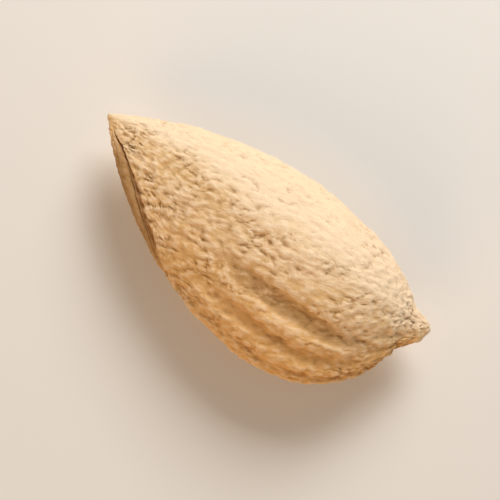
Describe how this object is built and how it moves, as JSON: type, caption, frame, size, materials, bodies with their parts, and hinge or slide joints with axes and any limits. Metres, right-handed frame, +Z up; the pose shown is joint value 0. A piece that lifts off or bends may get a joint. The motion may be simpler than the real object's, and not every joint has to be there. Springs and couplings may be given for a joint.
{
  "type": "almond in its shell",
  "caption": "Whole almond in a pale, finely wrinkled shell: a flattened teardrop with a pointed tip, grooves beside its keeled edge and a short stem nib, lying on its cheek.",
  "frame": {"origin": "on the resting surface, under the middle of the nut's box", "axes": "+X along the nut from the stem nib towards the apex, +Y towards the keeled ventral edge, +Z up from the surface that it lies on"},
  "size_m": [0.0402, 0.0192, 0.0127],
  "materials": {
    "shell": "dry, matt, finely wrinkled shell"
  },
  "bodies": {
    "root": {"almond_nut": "shell"}
  },
  "joints": []
}
